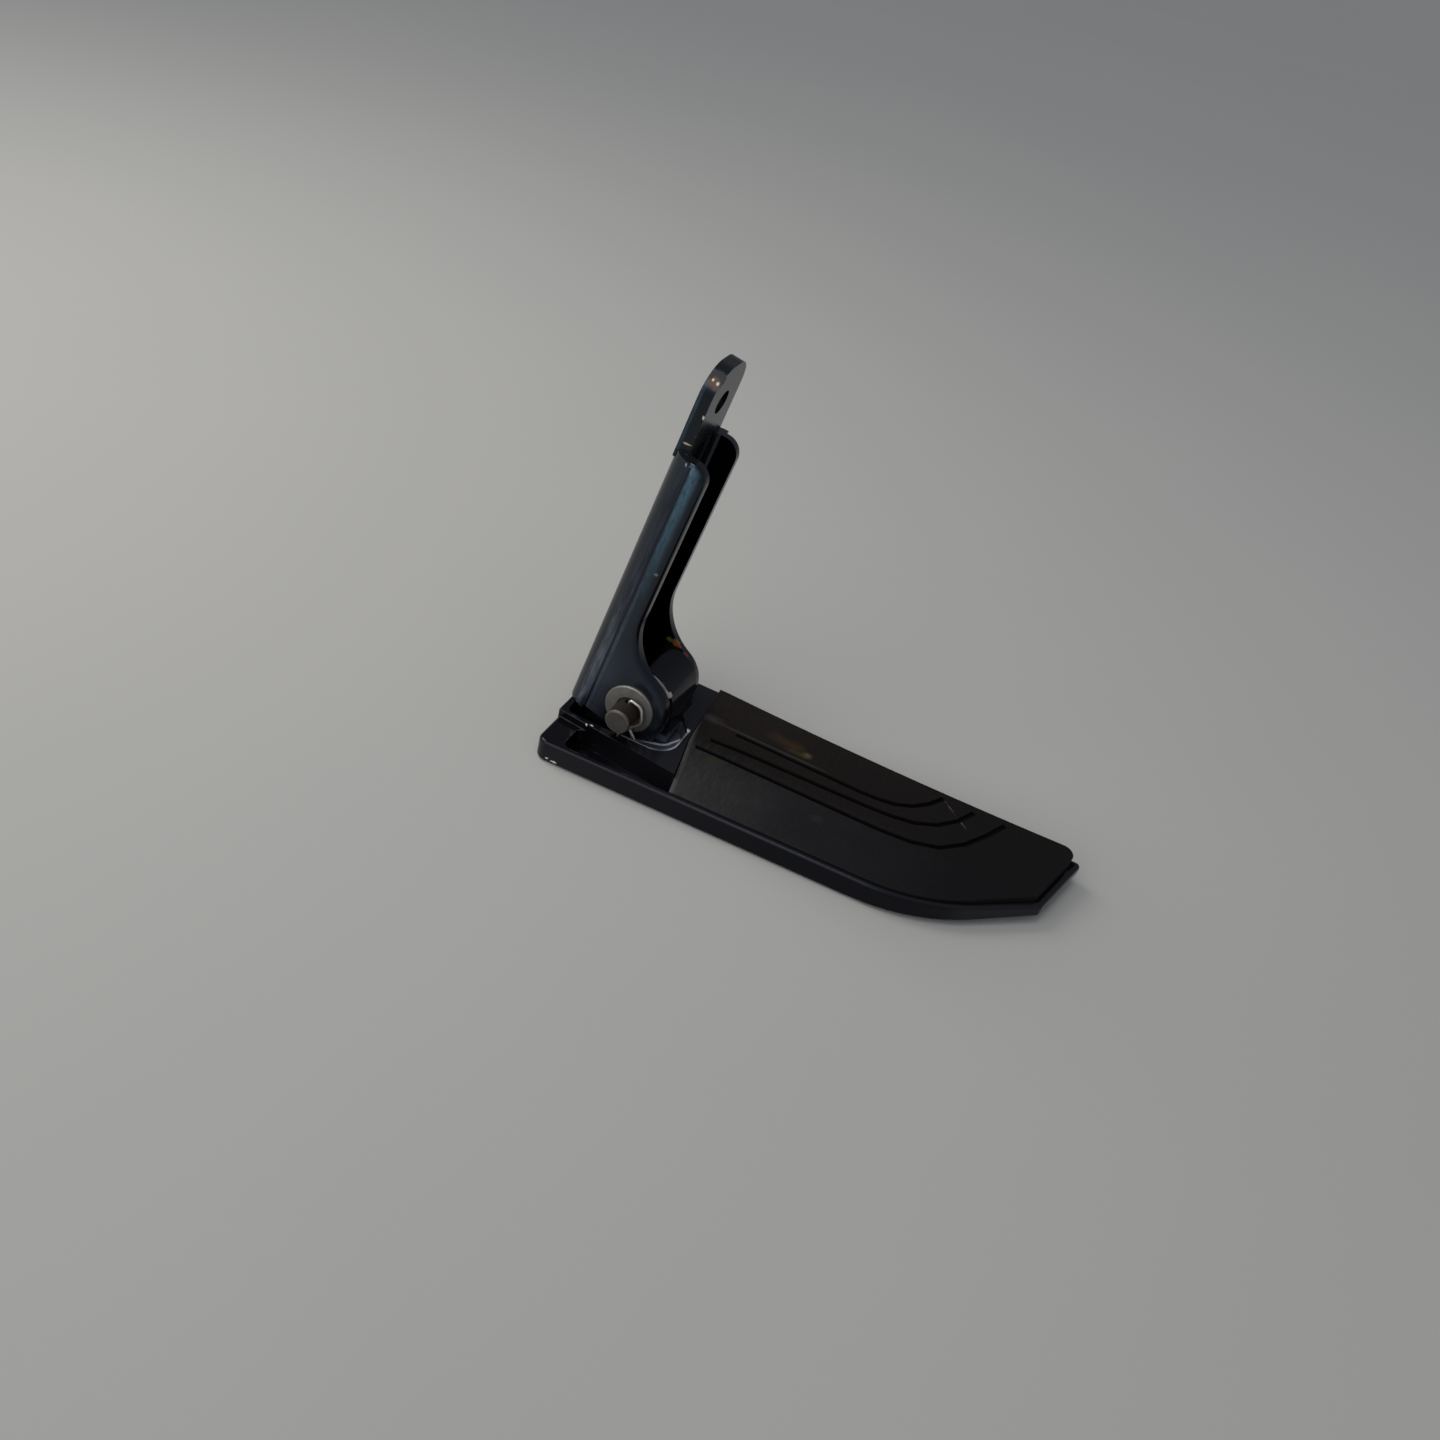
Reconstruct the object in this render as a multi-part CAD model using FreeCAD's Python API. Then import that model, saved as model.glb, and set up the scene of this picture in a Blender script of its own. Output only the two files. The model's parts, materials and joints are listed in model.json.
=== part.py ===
import FreeCAD, Part
import math
import os

from FreeCAD import Vector

# Working frame: the hinge pin's axis is Y through the origin, X runs out along the footrest and Z is up.
# Everything is moved at the end, so that the upper bolt hole on the bracket's back is the origin.

# Hinge
PIN_R = 4.0
PIN_FIT = 0.05              # radial play of the pin in the knuckle and the lugs
PIN_END = 8.9               # pin beyond the near flange
PIN_CHAMFER = 0.45
HEAD_R = 6.5
HEAD_T = 3.2
HEAD_CHAMFER = 1.0
STOP_GAP = 0.3              # web to stop land in the open position
SIDE_GAP = 0.3              # knuckle to its neighbours along the pin

# Bracket, in its own frame: the channel's length is Z and its web faces -X
LEAN = 10.0                 # degrees that the channel leans out over the footrest
SHEET = 4.0
WIDTH = 27.0
WEB_X = -19.8
BEND_R = 6.0
FLANGE_X = -7.7
FLANGE_TOP = 82.4
FLANGE_CORNER = 5.0
FLANGE_FOOT = -10.0
FOOT_IN = 0.6               # foot of the flange, in from the web's inner face
ROLL = 1.3                  # rolled outer edge of the pressed sheet, in three flats
ROLL_EASE = 0.45
WAIST_R = 20.0
LUG_R = 11.8
TONGUE_W = 20.8
TONGUE_LAP = 2.4            # tongue's root below the flange's top
TONGUE_END = 11.4           # tongue beyond the upper bolt hole
TONGUE_R = 8.2
BOLT_R = 3.5
BOLT_HIGH = 95.6
BOLT_LOW = 45.6

# Washers and split pin
WASHER_R = 8.0
WASHER_T = 1.0
WASHER_FIT = 0.2
WASHER_CHAMFER = 0.3
SPRING_R = 11.2
SPRING_T = 0.6
SPRING_H = 1.3              # dished height of the spring washer
SPRING_FIT = 0.3
SPRING_LIP_R = 12.3         # lip that shows beside the near flange, and the angles above X that it spans
SPRING_LIP = (40.0, 76.0)
SPRING_EAR_R = 12.7         # turned-up ear at the lip's lower end
SPRING_EAR = (33.0, 40.0)
SPRING_LAP = 0.8            # lip and ear inside the ring's edge
WIRE_R = 0.45
WIRE_SIDES = 8
WIRE_GAP = 0.05             # half the gap between the split pin's legs
EYE_R = 1.7
COTTER_HOLE_R = 1.1
COTTER_Y = 1.4              # wire centre beyond the plain washer
SHORT_LEG = 1.5             # straight leg beyond the hinge pin
LEG_RISE = 0.75             # bent leg: over the hinge pin, round its side and out below it
LEG_OVER = (0.4, -0.4)      # corner beyond the pin's right side and top
LEG_UNDER = [(1.7, -2.3), (-2.0, 1.1), (0.7, 4.6)]      # corners and end beyond its right side and below it
LEG_BENDS = [0.8, 2.0, 2.2, 1.0]

# Footrest casting: levels are heights from the pin's axis
BASE_Z = -17.0
RIM_Z = -9.6
LAND_Z = -7.1
FLOOR_Z = -11.4
DECK_Z = -13.6
LEFT_X = -20.0
FAR_Y = 22.2
NEAR_LEFT_Y = -33.1
BLADE_X, BLADE_Y = 86.0, -29.7
BLADE_R = 55.0
BLADE_TURN = 36.0
TIP_NEAR_X = 135.0
TIP_FAR_X = 142.6
CORNER_R = {"near_left": 3.5, "tip_near": 2.0, "tip_far": 1.5, "far_left": 5.0}
EDGE_R = 1.2                # rounded edges of the near wall and the tip
RIM_W = 1.6
KNUCKLE_R = 11.9
KNUCKLE_BLEND = 2.5
LUG_ROOM = 1.4              # pocket's floor below the near lug
HINGE_ROOM = 4.3            # pocket's near wall beyond the bracket
SLOT_ROOM = 0.6             # round slot about the far lug
SLOT_SIDE = 0.9             # far wall of that slot beyond the bracket
FOOT_ROOM = 0.9             # left wall of both beyond the flange's foot
POCKET_X = 16.8
POCKET_R = 7.0
POCKET_LEFT_R = 2.0
POCKET_END = [(-3.5, 0.0), (2.0, -3.8), (2.0, -8.8)]    # far end: y, and x from the right wall
LIP_R = 1.0                 # rounded rim of the pocket
STEP_X = 24.0               # the step runs from the left end to here
STEP_LEFT = 1.5             # land beyond the pocket at the left end
STEP_RIGHT = 6.6            # land beyond the pocket at STEP_X
WELL_X = -12.0              # left wall of the lightening well
WELL_Z = -15.4
WELL_R = 2.5
DRAIN_R = 1.8
DRAIN_IN = 4.0              # drain hole from the well's left wall and from the step
WALL = 3.2
TAPER_X = 70.0
TAPER_END_Z = -12.8
HOLLOW_X = (28.0, 128.0)
RIB_T = 3.0
RIB_X = [56.0, 86.0, 112.0]
RIB_Y = -5.0

# Rubber pad
PAD_GAP = 0.25
PAD_EDGE = [(16.4, 23.0), (18.2, -5.0), (23.9, -34.0)]
PAD_NEAR_Z = -9.0           # top of the pad at PAD_REF_Y
PAD_REF_Y = -30.0
PAD_SLOPE = 0.069
PAD_CORNER_R = 3.5
PAD_LIP_W = 6.0             # strip of the pad that laps over the far rim
GROOVE_W = 1.7
GROOVE_D = 1.5
PLUG_R = 3.0
PLUG_HEAD_R = 4.4
PLUG_HEAD_T = 1.2
PLUG_TAPER = 1.2
PLUGS = [(42, -18), (42, 12), (73, -17), (73, 11), (101, 5)]
PAD_FAR = [(16.0, 22.1), (86.0, 20.5), (141.0, 21.9)]
PAD_TIP = 2.6               # pad short of the casting's tip
GROOVE_STEPS = 12
GROOVES = [
    [(21.5, -7.5), (50, -7.2), (78, -7.0), (90, -6.4), (101, -3.2), (110, 6.4), (116.5, 18.4)],
    [(24.2, -2.0), (50, -0.6), (76, 0.2), (88, 1.4), (96, 4.4), (102, 10.0), (106.4, 18.0)],
    [(30.0, 5.2), (46, 5.2), (66, 5.0), (79, 5.4), (87, 7.8), (92, 12.0), (96.2, 18.2)],
]

ROOM = 60.0                 # reach of the cutting shapes beyond the part
CLOSE = 0.001               # places that count as the same


def prism(points, low, high):
    """Upright prism on a closed polygon of (x, y)."""
    ring = [Vector(x, y, low) for x, y in points]
    face = Part.Face(Part.makePolygon(ring + ring[:1]))
    return face.extrude(Vector(0, 0, high - low))


def box(x0, x1, y0, y1, z0, z1):
    return Part.makeBox(x1 - x0, y1 - y0, z1 - z0, Vector(x0, y0, z0))


def cylinder_y(radius, y0, y1, x=0.0, z=0.0):
    return Part.makeCylinder(radius, y1 - y0, Vector(x, y0, z), Vector(0, 1, 0))


def turned(profile, start=0.0, stop=360.0):
    """Solid of revolution about Y from (radius, y) points, between two angles above X."""
    centre, axis = Vector(0, 0, 0), Vector(0, -1, 0)
    ring = [Vector(r, y, 0) for r, y in profile]
    solid = Part.Face(Part.makePolygon(ring + ring[:1])).revolve(centre, axis, stop - start)
    solid.rotate(centre, axis, start)
    return solid


def edges_where(shape, test):
    return [e for e in shape.Edges if test(e)]


def middle(edge):
    return edge.valueAt((edge.FirstParameter + edge.LastParameter) / 2)


def is_upright(edge):
    a, b = edge.Vertexes[0].Point, edge.Vertexes[-1].Point
    return math.dist((a.x, a.y), (b.x, b.y)) < CLOSE < abs(a.z - b.z)


def lean(shape):
    """From the bracket's own frame to the working frame."""
    copy = shape.copy()
    copy.rotate(Vector(0, 0, 0), Vector(0, 1, 0), LEAN)
    return copy


def bracket_height(x, level):
    """Height in the bracket's frame of the point at x that lies at a level of the working frame."""
    a = math.radians(LEAN)
    return (level + x * math.sin(a)) / math.cos(a)


def channel_outline():
    """Side view of the channel: top corner, front edge, waist, lug, foot and the stop edge under the web."""
    def at(x, z):
        return Vector(x, 0, z)

    def arc(middle_x, middle_z, radius, start, stop):
        angles = (math.radians(v) for v in (start, (start + stop) / 2, stop))
        points = [at(middle_x + radius * math.cos(v), middle_z + radius * math.sin(v)) for v in angles]
        return Part.Arc(*points).toShape()

    # the waist's arc touches the front edge and the lug from outside
    waist_x = FLANGE_X + WAIST_R
    waist_z = math.sqrt((WAIST_R + LUG_R) ** 2 - waist_x ** 2)
    lug_top = math.degrees(math.atan2(waist_z, waist_x))

    # the lower edge runs from the lug to the foot
    foot_x = WEB_X + SHEET + FOOT_IN
    bearing = math.atan2(FLANGE_FOOT, foot_x) + math.acos(LUG_R / math.hypot(foot_x, FLANGE_FOOT))
    touch = at(LUG_R * math.cos(bearing), LUG_R * math.sin(bearing))
    stop_level = LAND_Z + STOP_GAP
    stop_in = at(foot_x, bracket_height(foot_x, stop_level))
    stop_out = at(WEB_X, bracket_height(WEB_X, stop_level))
    corner_x, corner_z = FLANGE_X - FLANGE_CORNER, FLANGE_TOP - FLANGE_CORNER
    return Part.Wire([
        Part.makeLine(at(WEB_X, FLANGE_TOP), at(corner_x, FLANGE_TOP)),
        arc(corner_x, corner_z, FLANGE_CORNER, 90, 0),
        Part.makeLine(at(FLANGE_X, corner_z), at(FLANGE_X, waist_z)),
        arc(waist_x, waist_z, WAIST_R, 180, 180 + lug_top),
        arc(0, 0, LUG_R, lug_top, math.degrees(bearing)),
        Part.makePolygon([touch, at(foot_x, FLANGE_FOOT), stop_in, stop_out, at(WEB_X, FLANGE_TOP)]),
    ])


def rolled(flange, face_y, start_x):
    """Breaks the edge round a flange's outer face, then eases both edges of the flat that this leaves."""
    def outline_edges(shape, y):
        return edges_where(shape, lambda e: abs(middle(e).y - y) < CLOSE and middle(e).x > start_x + CLOSE)
    inward = -math.copysign(ROLL, face_y)
    flange = flange.makeChamfer(ROLL, outline_edges(flange, face_y))
    for y in (face_y, face_y + inward):
        flange = flange.makeChamfer(ROLL_EASE, outline_edges(flange, y))
    return flange


def bracket():
    web_in = WEB_X + SHEET
    bend_end = WEB_X + BEND_R
    half = WIDTH / 2
    side = Part.Face(channel_outline()).extrude(Vector(0, WIDTH, 0))
    side.translate(Vector(0, -half, 0))

    def bar(x0, reach, radius):
        solid = box(x0, LUG_R, -reach, reach, -2 * LUG_R, FLANGE_TOP + SHEET)
        back = edges_where(solid, lambda e: is_upright(e) and middle(e).x < x0 + CLOSE)
        return solid.makeFillet(radius, back)
    channel = bar(WEB_X, half, BEND_R).cut(bar(web_in, half - SHEET, BEND_R - SHEET)).common(side)
    pieces = [channel.common(box(WEB_X, bend_end, -half, half, -2 * LUG_R, FLANGE_TOP))]
    for outer, inner in ((-half, SHEET - half), (half, half - SHEET)):
        low, high = sorted((outer, inner))
        flange = side.common(box(bend_end, LUG_R, low, high, -2 * LUG_R, FLANGE_TOP))
        pieces.append(rolled(flange, outer, bend_end))

    top = BOLT_HIGH + TONGUE_END
    tongue = box(WEB_X, web_in, -TONGUE_W / 2, TONGUE_W / 2, FLANGE_TOP - TONGUE_LAP, top)
    corners = edges_where(tongue, lambda e: middle(e).z > top - CLOSE and abs(middle(e).y) > CLOSE)
    pieces.append(tongue.makeFillet(TONGUE_R, corners))
    body = pieces[0].fuse(pieces[1:]).removeSplitter()
    for height in (BOLT_HIGH, BOLT_LOW):
        start = Vector(WEB_X - SHEET, 0, height)
        body = body.cut(Part.makeCylinder(BOLT_R, 3 * SHEET, start, Vector(1, 0, 0)))
    body = body.cut(cylinder_y(PIN_R + PIN_FIT, -WIDTH, WIDTH))
    return lean(body.removeSplitter())


def hinge_pin():
    half = WIDTH / 2
    end = -half - PIN_END
    pin = turned([
        (0, end), (PIN_R - PIN_CHAMFER, end), (PIN_R, end + PIN_CHAMFER), (PIN_R, half), (HEAD_R, half),
        (HEAD_R, half + HEAD_T - HEAD_CHAMFER), (HEAD_R - HEAD_CHAMFER, half + HEAD_T), (0, half + HEAD_T)])
    hole = Part.makeCylinder(COTTER_HOLE_R, 4 * PIN_R, Vector(0, cotter_y(), -2 * PIN_R), Vector(0, 0, 1))
    return pin.cut(hole)


def cotter_y():
    return -WIDTH / 2 - WASHER_T - COTTER_Y


def plain_washer():
    seat = -WIDTH / 2
    face = seat - WASHER_T
    inner = PIN_R + WASHER_FIT
    return turned([(inner, face), (WASHER_R - WASHER_CHAMFER, face), (WASHER_R, face + WASHER_CHAMFER),
                   (WASHER_R, seat), (inner, seat)])


def knuckle_span():
    near = -WIDTH / 2 + SHEET + SPRING_H + SIDE_GAP
    far = WIDTH / 2 - SHEET - SIDE_GAP
    return near, far


def spring_washer():
    seat = -WIDTH / 2 + SHEET
    inner = PIN_R + SPRING_FIT
    rise = SPRING_H - SPRING_T
    ring = turned([(SPRING_R, seat), (SPRING_R, seat + SPRING_T), (inner, seat + rise + SPRING_T),
                   (inner, seat + rise)])
    start = SPRING_R - SPRING_LAP

    def sector(radius, height, angles):
        return turned([(start, seat), (radius, seat), (radius, seat + height), (start, seat + height)], *angles)
    lip = sector(SPRING_LIP_R, SPRING_T, SPRING_LIP)
    return ring.fuse([lip, sector(SPRING_EAR_R, SPRING_H, SPRING_EAR)]).removeSplitter()


def bent_path(points, radii):
    """Straight runs through points, with a tangent arc at each corner between them."""
    edges = []
    start = points[0]
    for before, corner, after, radius in zip(points, points[1:], points[2:], radii):
        back, ahead = (before - corner).normalize(), (after - corner).normalize()
        half_angle = back.getAngle(ahead) / 2
        enter, leave = (corner + v * (radius / math.tan(half_angle)) for v in (back, ahead))
        inward = (back + ahead).normalize()
        bottom = corner + inward * (radius / math.sin(half_angle) - radius)
        edges += [Part.makeLine(start, enter), Part.Arc(enter, bottom, leave).toShape()]
        start = leave
    return Part.Wire(edges + [Part.makeLine(start, points[-1])])


def split_pin():
    y = cotter_y()
    eye_z = -PIN_R - EYE_R - WIRE_R
    foot = eye_z + EYE_R
    side = WIRE_R + WIRE_GAP
    along = Vector(0, 1, 0)

    def section(x):
        """Many-sided section of the wire, across an upright leg at x."""
        turns = (math.tau * (i + 0.5) / WIRE_SIDES for i in range(WIRE_SIDES + 1))
        corners = ((WIRE_R * math.cos(turn), WIRE_R * math.sin(turn)) for turn in turns)
        return Part.makePolygon([Vector(x + dx, y + dy, foot) for dx, dy in corners])
    eye = Part.Face(section(EYE_R)).revolve(Vector(0, y, foot), along, 360)
    eye.translate(Vector(0, 0, eye_z - foot))
    short = Part.Face(section(-side)).extrude(Vector(0, 0, PIN_R + SHORT_LEG - foot))
    path = bent_path([
        Vector(side, y, foot),
        Vector(side, y, PIN_R + LEG_RISE),
        Vector(PIN_R + LEG_OVER[0], y, PIN_R + LEG_OVER[1]),
        *(Vector(PIN_R + out, y, -PIN_R - down) for out, down in LEG_UNDER),
    ], LEG_BENDS)
    leg = path.makePipeShell([section(side)], True, False)
    return eye.fuse([short, leg]).removeSplitter()


def outline_points():
    """Corners of the blade's plan, and the ends and middle of its curve."""
    heading = math.atan2(BLADE_Y - NEAR_LEFT_Y, BLADE_X - LEFT_X)
    turn = math.radians(BLADE_TURN)

    def on_curve(angle):
        return (BLADE_X + BLADE_R * (math.sin(heading + angle) - math.sin(heading)),
                BLADE_Y + BLADE_R * (math.cos(heading) - math.cos(heading + angle)))
    half_way, end = on_curve(turn / 2), on_curve(turn)
    tip_near = (TIP_NEAR_X, end[1] + (TIP_NEAR_X - end[0]) * math.tan(heading + turn))
    return half_way, end, tip_near


def outline_wire(inset=0.0):
    half_way, end, tip_near = outline_points()

    def at(x, y):
        return Vector(x, y, 0)
    ring = Part.Wire([
        Part.makeLine(at(LEFT_X, NEAR_LEFT_Y), at(BLADE_X, BLADE_Y)),
        Part.Arc(at(BLADE_X, BLADE_Y), at(*half_way), at(*end)).toShape(),
        Part.makeLine(at(*end), at(*tip_near)),
        Part.makeLine(at(*tip_near), at(TIP_FAR_X, FAR_Y)),
        Part.makeLine(at(TIP_FAR_X, FAR_Y), at(LEFT_X, FAR_Y)),
        Part.makeLine(at(LEFT_X, FAR_Y), at(LEFT_X, NEAR_LEFT_Y)),
    ])
    return ring.makeOffset2D(-inset, 2, False, False, True) if inset else ring


def blade(inset, low, high):
    solid = Part.Face(outline_wire(inset)).extrude(Vector(0, 0, high - low))
    solid.translate(Vector(0, 0, low))
    return solid


def beyond_edge(shift, low, high):
    """Everything outboard of the pad's inner edge."""
    edge = [(x + shift, y) for x, y in PAD_EDGE]
    first, last = edge[0], edge[-1]
    end = TIP_FAR_X + ROOM
    return prism([(first[0], ROOM), *edge, (last[0], -ROOM), (end, -ROOM), (end, ROOM)], low, high)


def pocket_y():
    return -WIDTH / 2 - HINGE_ROOM


def pocket_left():
    return lean(Part.Vertex(WEB_X + SHEET + FOOT_IN, 0, FLANGE_FOOT)).Point.x - FOOT_ROOM


def step_y(x):
    left, right = pocket_y() - STEP_LEFT, pocket_y() - STEP_RIGHT
    return left + (x - LEFT_X) * (right - left) / (STEP_X - LEFT_X)


def before_step(low, high):
    """Everything on the near side of the step."""
    ends = (LEFT_X - ROOM, STEP_X + ROOM)
    step = [(x, step_y(x)) for x in ends]
    return prism([*step, (ends[1], -2 * ROOM), (ends[0], -2 * ROOM)], low, high)


def beyond_tip(inset):
    """Everything past the tip's edge, moved in by inset."""
    near = Vector(*outline_points()[2], 0)
    far = Vector(TIP_FAR_X, FAR_Y, 0)
    along = (far - near).normalize()
    out = Vector(along.y, -along.x, 0)
    low, high = near - out * inset - along * ROOM, far - out * inset + along * ROOM
    return prism([(p.x, p.y) for p in (low, low + out * ROOM, high + out * ROOM, high)], -ROOM, ROOM)


def at_corner(edge, x, y):
    return is_upright(edge) and math.dist((middle(edge).x, middle(edge).y), (x, y)) < CLOSE


def blank(low, high):
    """The blade with its corners rounded in plan."""
    solid = blade(0, low, high)
    corners = {
        "near_left": (LEFT_X, NEAR_LEFT_Y),
        "tip_near": outline_points()[2],
        "tip_far": (TIP_FAR_X, FAR_Y),
        "far_left": (LEFT_X, FAR_Y),
    }
    for name, (x, y) in corners.items():
        solid = solid.makeFillet(CORNER_R[name], edges_where(solid, lambda e: at_corner(e, x, y)))
    return solid


def blade_body():
    """Blade with rounded near and tip edges, the raised land by the hinge and the tray for the pad."""
    lower = blank(BASE_Z, RIM_Z)

    def is_soft(edge):
        mid = middle(edge)
        near_side = mid.y < -EDGE_R and mid.x > LEFT_X + EDGE_R / 4
        tip = mid.x > TIP_NEAR_X - CORNER_R["tip_near"] and mid.y < FAR_Y - CORNER_R["tip_far"]
        return not is_upright(edge) and (near_side or tip)
    lower = lower.makeFillet(EDGE_R, edges_where(lower, is_soft))
    land = blank((RIM_Z + FLOOR_Z) / 2, LAND_Z).cut(beyond_edge(0, BASE_Z, 0)).cut(before_step(BASE_Z, 0))
    tray = blade(RIM_W, FLOOR_Z, 0).common(beyond_edge(0, FLOOR_Z, 0))
    return lower.fuse(land).removeSplitter().cut(tray)


def lightening_well():
    """Well behind the near wall, with a drain hole in its corner."""
    well = blade(RIM_W, WELL_Z, 0).common(before_step(WELL_Z, 0)).cut(beyond_edge(0, -ROOM, ROOM))
    well = well.cut(box(LEFT_X - ROOM, WELL_X, -ROOM, ROOM, -ROOM, ROOM))
    corners = edges_where(well, lambda e: is_upright(e) and middle(e).x < WELL_X + CLOSE)
    well = well.makeFillet(WELL_R, corners)
    x = WELL_X + DRAIN_IN
    return well.fuse(Part.makeCylinder(DRAIN_R, ROOM, Vector(x, step_y(x) - DRAIN_IN, WELL_Z - ROOM)))


def pocket_right():
    """The pocket's right-hand wall, which narrows beside the knuckle."""
    wall = [(POCKET_X, pocket_y())] + [(POCKET_X + shift, y) for y, shift in POCKET_END]
    return wall + [(wall[-1][0], knuckle_span()[0])]


def lug_rooms():
    """The near lug's pocket and the far lug's slot."""
    left = pocket_left()
    near, far = knuckle_span()
    pocket = prism([(left, near), (left, pocket_y()), *pocket_right()], -LUG_R - LUG_ROOM, ROOM)
    for x, radius in ((POCKET_X, POCKET_R), (left, POCKET_LEFT_R)):
        pocket = pocket.makeFillet(radius, edges_where(pocket, lambda e: at_corner(e, x, pocket_y())))
    end = WIDTH / 2 + SLOT_SIDE
    depth = LUG_R + SLOT_ROOM
    slot = cylinder_y(depth, far, end).fuse(box(left, 0, far, end, -depth, ROOM))
    return pocket, slot


def knuckle():
    """Barrel with upright cheeks and fillets into the land, clear of the near lug's pocket."""
    near, far = knuckle_span()
    foot = RIM_Z - RIM_W
    barrel = cylinder_y(KNUCKLE_R, near, far).fuse(box(-KNUCKLE_R, KNUCKLE_R, near, far, foot, 0))
    for side in (-1, 1):
        edge = side * (KNUCKLE_R + KNUCKLE_BLEND)
        top = LAND_Z + KNUCKLE_BLEND
        web = box(min(edge, 0), max(edge, 0), near, far, foot, top)
        barrel = barrel.fuse(web.cut(cylinder_y(KNUCKLE_BLEND, 2 * near, 2 * far, edge, top)))
    *wall, narrow, _ = pocket_right()
    return barrel.cut(prism([(KNUCKLE_R, pocket_y()), *wall, (KNUCKLE_R, narrow[1])], -ROOM, ROOM))


def underside():
    """What the underside lacks: its rise to the tip, the hollows between the ribs and the plugs' holes."""
    slope = (TAPER_END_Z - BASE_Z) / (TIP_FAR_X - TAPER_X)
    wedge = [Vector(x, -ROOM, z) for x, z in (
        (TAPER_X, BASE_Z), (TAPER_X + 2 * ROOM, BASE_Z + 2 * ROOM * slope), (TAPER_X + 2 * ROOM, BASE_Z))]
    rise = Part.Face(Part.makePolygon(wedge + wedge[:1])).extrude(Vector(0, 2 * ROOM, 0))
    low = BASE_Z - RIB_T
    left, right = HOLLOW_X
    hollow = blade(WALL, low, DECK_Z).common(box(left, right, -ROOM, ROOM, low, DECK_Z))
    hollow = hollow.cut(box(left - RIB_T, right + RIB_T, RIB_Y, RIB_Y + RIB_T, low, DECK_Z))
    for x in RIB_X:
        hollow = hollow.cut(box(x, x + RIB_T, -ROOM, ROOM, low, DECK_Z))
    plugs = [Part.makeCylinder(PLUG_R, ROOM, Vector(x, y, DECK_Z - PLUG_HEAD_T)) for x, y in PLUGS]
    return [rise, hollow, *plugs]


def footrest_casting():
    body = blade_body().cut(lightening_well())
    pocket, slot = lug_rooms()
    body = body.cut(pocket).cut(slot)

    def is_lip(edge):
        mid = middle(edge)
        right = POCKET_X - POCKET_R < mid.x < POCKET_X - CLOSE
        return abs(mid.z - LAND_Z) < CLOSE and right and mid.y < knuckle_span()[0]
    body = body.makeFillet(LIP_R, edges_where(body, is_lip))
    body = body.fuse(knuckle()).removeSplitter()
    body = body.cut(cylinder_y(PIN_R + PIN_FIT, -WIDTH, WIDTH))
    for shape in underside():
        body = body.cut(shape)
    return body.removeSplitter()


def pad_height(y):
    return PAD_NEAR_Z + (y - PAD_REF_Y) * PAD_SLOPE


def above_pad(drop):
    """Space above the pad's sloping top, lowered by drop."""
    low, high = -ROOM, ROOM
    section = Part.makePolygon([
        Vector(0, low, pad_height(low) - drop), Vector(0, high, pad_height(high) - drop),
        Vector(0, high, ROOM), Vector(0, low, ROOM), Vector(0, low, pad_height(low) - drop)])
    return Part.Face(section).extrude(Vector(TIP_FAR_X + ROOM, 0, 0))


def groove(points):
    curve = Part.BSplineCurve()
    curve.interpolate([Vector(x, y, 0) for x, y in points])
    first, last = curve.FirstParameter, curve.LastParameter
    sides = [[], []]
    for i in range(GROOVE_STEPS + 1):
        u = first + (last - first) * i / GROOVE_STEPS
        at, along = curve.value(u), curve.tangent(u)[0]
        across = Vector(-along.y, along.x, 0)
        for side, sign in zip(sides, (1, -1)):
            side.append(at + across * (sign * GROOVE_W / 2))
    ring = sides[0] + sides[1][::-1]
    cutter = Part.Face(Part.makePolygon(ring + ring[:1])).extrude(Vector(0, 0, ROOM))
    cutter.translate(Vector(0, 0, FLOOR_Z))
    return cutter.common(above_pad(GROOVE_D))


def rubber_pad():
    seat = blade(RIM_W + PAD_GAP, FLOOR_Z, 0).common(beyond_edge(PAD_GAP, FLOOR_Z, 0))
    lip = blade(PAD_GAP, RIM_Z, 0).common(beyond_edge(PAD_GAP, RIM_Z, 0))
    start, mid, stop = (Vector(x, y, RIM_Z) for x, y in PAD_FAR)
    strip = Part.Wire([Part.Arc(start, mid, stop).toShape(), Part.makePolygon([
        stop, Vector(stop.x, FAR_Y - PAD_LIP_W, RIM_Z), Vector(start.x, FAR_Y - PAD_LIP_W, RIM_Z), start])])
    lip = lip.common(Part.Face(strip).extrude(Vector(0, 0, -RIM_Z)))
    pad = seat.fuse(lip).removeSplitter().cut(beyond_tip(PAD_TIP)).cut(above_pad(0)).removeSplitter()

    def is_tip_corner(edge):
        return is_upright(edge) and middle(edge).x > TIP_NEAR_X and middle(edge).y > FAR_Y - RIM_W
    pad = pad.makeFillet(PAD_CORNER_R, edges_where(pad, is_tip_corner))
    for points in GROOVES:
        pad = pad.cut(groove(points))
    for x, y in PLUGS:
        stem = Part.makeCylinder(PLUG_R, RIM_Z - DECK_Z, Vector(x, y, DECK_Z))
        tip = Vector(x, y, DECK_Z - PLUG_HEAD_T)
        head = Part.makeCone(PLUG_HEAD_R - PLUG_TAPER, PLUG_HEAD_R, PLUG_HEAD_T, tip)
        pad = pad.fuse([stem, head])
    return pad.removeSplitter()


NODES = {
    "bracket": bracket,
    "hinge_pin": hinge_pin,
    "plain_washer": plain_washer,
    "spring_washer": spring_washer,
    "split_pin": split_pin,
    "footrest_casting": footrest_casting,
    "rubber_pad": rubber_pad,
}


def main():
    os.makedirs("parts", exist_ok=True)
    mark = lean(Part.Vertex(WEB_X, 0, BOLT_HIGH)).Point
    for name, make in NODES.items():
        shape = make()
        shape.translate(mark * -1)
        shape.exportStep(f"parts/{name}.step")
        state = "valid" if shape.isValid() else "not valid"
        print(f"{name}: {state}, solids {len(shape.Solids)}, {shape.Volume:.1f} mm3")


main()
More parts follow.
